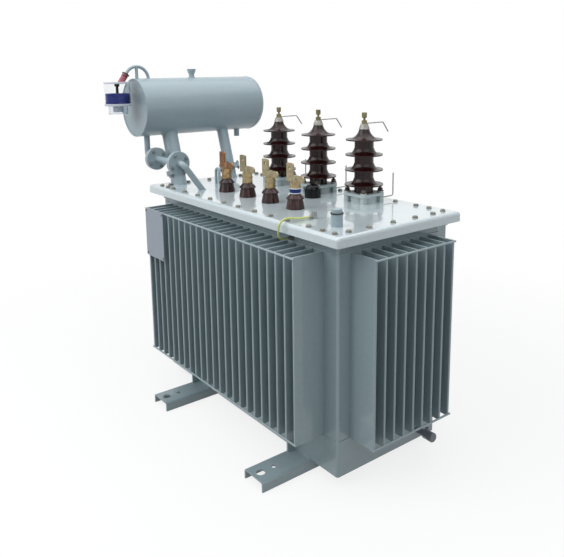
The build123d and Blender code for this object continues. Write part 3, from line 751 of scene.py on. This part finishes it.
# The flanged pipe beside them, down to the cover
for flange_x in PIPE_FLANGE_X:
    for side in (-1, 1):
        face_x = flange_x + PIPE_FLANGE_HALF * side
        ring_bead(vessel_welds, at(face_x, PIPE_Y, PIPE_Z), RIGHTWARD, 15, 2.2, 24)
        for number in range(4):
            angle = 0.5 + pi / 2 * number
            place = at(face_x, PIPE_Y + 40 * cos(angle), PIPE_Z + 40 * sin(angle))
            bolt(flange_bolts, place, RIGHTWARD * side, across=15, head=8, stub=5)
pipe_foot = at(-385, -196, COVER_TOP)
ring_bead(vessel_welds, pipe_foot, UP, 15.5, 2.6, 28, stretch=1.06)
finish_piece("vessel_welds", vessel_welds, vessel_paint)
# The flange bolts take the darker copy of the vessel paint, as painted shade
finish_piece("flange_bolts", flange_bolts, shaded_bolt_paint)

# Nuts that pull the high-voltage clamps down, each on a square plate that reaches past
# its corner of the clamp
clamp_bolts = bmesh.new()
plate_height = 3
for hv_x in HV_X:
    for x in (-HV_CLAMP_CORNER, HV_CLAMP_CORNER):
        for y in (-HV_CLAMP_CORNER, HV_CLAMP_CORNER):
            place = at(hv_x + x, HV_Y + y, HV_CLAMP_TOP)
            seat = facing(place, UP) @ Matrix.Rotation(pi / 4, 4, "Z")
            disc(clamp_bolts, seat, 15, plate_height, 4, 14)
            place = raised(seat, plate_height).translation
            bolt(clamp_bolts, place, UP, across=18, head=11, stub=10, turn=x * y)
finish_piece("clamp_bolts", clamp_bolts, dark_bolt)

# White rims of the neutral ring
ring_rims = bmesh.new()
section = [(20, 0), (23.4, 0), (24, 0.6), (24, 3.4), (23.4, 4), (20, 4)]
for z in (1023.5, 1042.5):
    turned(ring_rims, facing(at(NEUTRAL_X, LV_Y, z), UP), section)
finish_piece("ring_rims", ring_rims, white_plastic)

# Seal under the cap of the thermometer pocket
pocket_seal = bmesh.new()
section = [(18, 0), (22.6, 0), (23.5, 1.2), (23.5, 4.8), (22.6, 6), (18, 6)]
turned(pocket_seal, facing(at(561, -207, 1006), UP), section)
finish_piece("pocket_seal", pocket_seal, gasket_rubber)

# Breather: the rims that hold the jar, a hollow cup under it with its inner tube, the
# nut on the rod and the black clips at the top of the inlet
breather_foot = facing(at(VESSEL_X, BREATHER_Y, BREATHER_FOOT), UP)
jar_rim = bmesh.new()
section = [(0, 0), (60.6, 0), (61.6, -1), (61.6, -9), (60.4, -11), (0, -11)]
turned(jar_rim, breather_foot, section, 56, ring=False)
section = [(57.4, 92.5), (61.5, 92.5), (61.8, 93.4), (61.8, 100.2)]
section += [(61, 101.2), (57.4, 101.2)]
turned(jar_rim, breather_foot, section, 56)
finish_piece("jar_rim", jar_rim, white_plastic)
lower_cup = bmesh.new()
section = [(0, -49), (43, -49), (45, -46.5), (45, -11.2), (42.4, -11.2), (42.4, -45)]
section += [(41, -46.6), (0, -46.6)]
turned(lower_cup, breather_foot, section, 48, ring=False)
cup_piece = finish_piece("lower_cup", lower_cup, smoked_cup)
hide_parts("breather_cup")
cup_tube = bmesh.new()
section = [(0, -11.2), (24, -11.2), (24, -38), (22, -40), (0, -40)]
turned(cup_tube, breather_foot, section, 32, ring=False)
finish_piece("cup_tube", cup_tube, grey_plastic)
rod_nut = bmesh.new()
disc(rod_nut, raised(breather_foot, 80), 13, 12.5, 6)
disc(rod_nut, raised(breather_foot, 47.5), 6.6, 33, 20)
finish_piece("rod_nut", rod_nut, black_plastic, edge=0.6)
inlet_clips = bmesh.new()
inlet_top = Vector((VESSEL_X, -394.9, 1497))
inlet_run = Vector((0, cos(radians(235)), sin(radians(235))))
for distance, reach in ((-0.5, 19), (12, 15.8)):
    seat = facing(at(*(inlet_top + inlet_run * distance)), inlet_run)
    section = [(9, 0), (reach - 0.8, 0), (reach, 0.8), (reach, 3)]
    section += [(reach - 0.8, 3.8), (9, 3.8)]
    turned(inlet_clips, seat, section, 32)
finish_piece("inlet_clips", inlet_clips, black_plastic)

# Rivets of the rating plate panel
rivets = bmesh.new()
for x in (-547, -391):
    for z in (868, 666):
        seat = facing(at(x, PANEL_Y, z), -BACKWARD)
        disc(rivets, seat, 4.5, 1.2, 16)
        disc(rivets, raised(seat, 1.2), 4.5, 1.4, 16, 2)
finish_piece("panel_rivets", rivets, dark_bolt)


# Studio: a pale floor that fades into the white surround, and soft lamps

floor_material = bpy.data.materials.new("studio_floor")
ground = Tree(floor_material, "ShaderNodeOutputMaterial")
spot = ground.node("ShaderNodeTexCoord", {}, "Object")
distance = ground.node("ShaderNodeVectorMath", {0: spot}, "Value", operation="LENGTH")
seen = ground.seen()
pale = 0.35 + seen * 0.6
tone = ground.node("ShaderNodeCombineColor", {0: pale, 1: pale, 2: pale})
matt = ground.node("ShaderNodeBsdfDiffuse", {"Color": tone})
glow = ground.node("ShaderNodeEmission", {"Color": (1, 1, 1, 1)})
share = seen * (0.8 + distance.between(1.3, 2.6) * 0.2)
ground.shows(ground.node("ShaderNodeMixShader", {0: share, 1: matt, 2: glow}))

floor_form = bmesh.new()
bmesh.ops.create_circle(floor_form, cap_ends=True, segments=64, radius=25)
floor_mesh = bpy.data.meshes.new("studio_floor")
floor_form.to_mesh(floor_mesh)
floor_form.free()
floor_mesh.materials.append(floor_material)
studio_floor = bpy.data.objects.new("studio_floor", floor_mesh)
studio_floor.location = (0, 0, -0.0005)
bpy.context.scene.collection.objects.link(studio_floor)

world = bpy.data.worlds.new("studio")
bpy.context.scene.world = world
sky = Tree(world, "ShaderNodeOutputWorld")
soft_light = {"Color": (0.92, 0.97, 1.0, 1), "Strength": 0.32}
soft = sky.node("ShaderNodeBackground", soft_light)
white = sky.node("ShaderNodeBackground", {"Color": (1, 1, 1, 1), "Strength": 1.0})
sky.shows(sky.node("ShaderNodeMixShader", {0: sky.seen(), 1: soft, 2: white}))

# Each lamp's place and width in metres and its power in watts; all of them face the
# tank's middle
lamp_target = Vector((0, 0, 0.6))
for name, place, width, power in (
    ("lamp_key", (-1.2, -3.6, 3.6), 5.0, 150),
    ("lamp_fill", (3.8, -0.6, 2.6), 4.0, 33),
    ("lamp_top", (0.2, 0.4, 4.2), 5.0, 88),
):
    lamp = bpy.data.lights.new(name, "AREA")
    lamp.shape = "DISK"
    lamp.size = width
    lamp.energy = power
    lamp_object = bpy.data.objects.new(name, lamp)
    lamp_object.matrix_world = facing(Vector(place), Vector(place) - lamp_target)
    bpy.context.scene.collection.objects.link(lamp_object)

bpy.context.scene.view_settings.view_transform = "Standard"
